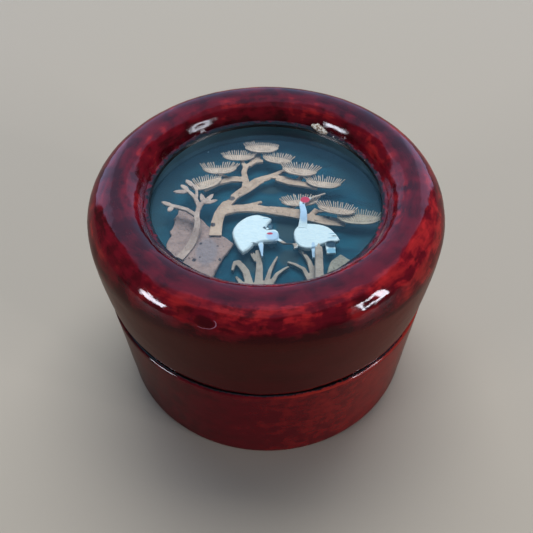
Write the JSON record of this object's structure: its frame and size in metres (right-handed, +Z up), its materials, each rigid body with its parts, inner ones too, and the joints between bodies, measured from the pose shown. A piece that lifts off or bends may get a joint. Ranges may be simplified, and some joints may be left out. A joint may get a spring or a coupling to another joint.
{
  "type": "lacquered trinket pot",
  "caption": "Round lacquered pot with a lift-off lid, whose fat ring frames a carved cork landscape with cranes and a pine under glass.",
  "frame": {"origin": "centre of the flat foot, on the surface that the pot stands on", "axes": "+Z up along the pot's axis; -Y is the lower edge of the picture, towards someone who looks at it upright; +X is to their right"},
  "size_m": [0.085, 0.085, 0.0596],
  "materials": {
    "base_lacquer": "turned wood under glossy dark red lacquer, black inside",
    "lid_lacquer": "turned wood under glossy mottled deep red lacquer, black inside",
    "clear_glass": "clear flat glass",
    "teal_paint": "matt teal paint on card",
    "rock_cork": "mauve-brown cork bark",
    "pine_cork": "carved cork",
    "needle_cork": "finely cut light cork",
    "shrub_cork": "carved cork",
    "crane_paint": "cork painted matt white with a red crown and dark tail marks",
    "reed_cork": "finely cut light cork"
  },
  "bodies": {
    "root": {"base": "base_lacquer", "lid": "lid_lacquer", "glass_pane": "clear_glass", "picture_board": "teal_paint", "rock_left": "rock_cork", "rock_right": "rock_cork", "pine": "pine_cork", "pine_tuft_01": "needle_cork", "pine_tuft_02": "needle_cork", "pine_tuft_03": "needle_cork", "pine_tuft_04": "needle_cork", "pine_tuft_05": "needle_cork", "pine_tuft_06": "needle_cork", "pine_tuft_07": "needle_cork", "pine_tuft_08": "needle_cork", "pine_tuft_09": "needle_cork", "pine_tuft_10": "needle_cork", "shrub": "shrub_cork", "crane_left": "crane_paint", "crane_right": "crane_paint", "reeds_left": "reed_cork", "reeds_right": "reed_cork"}
  },
  "joints": []
}
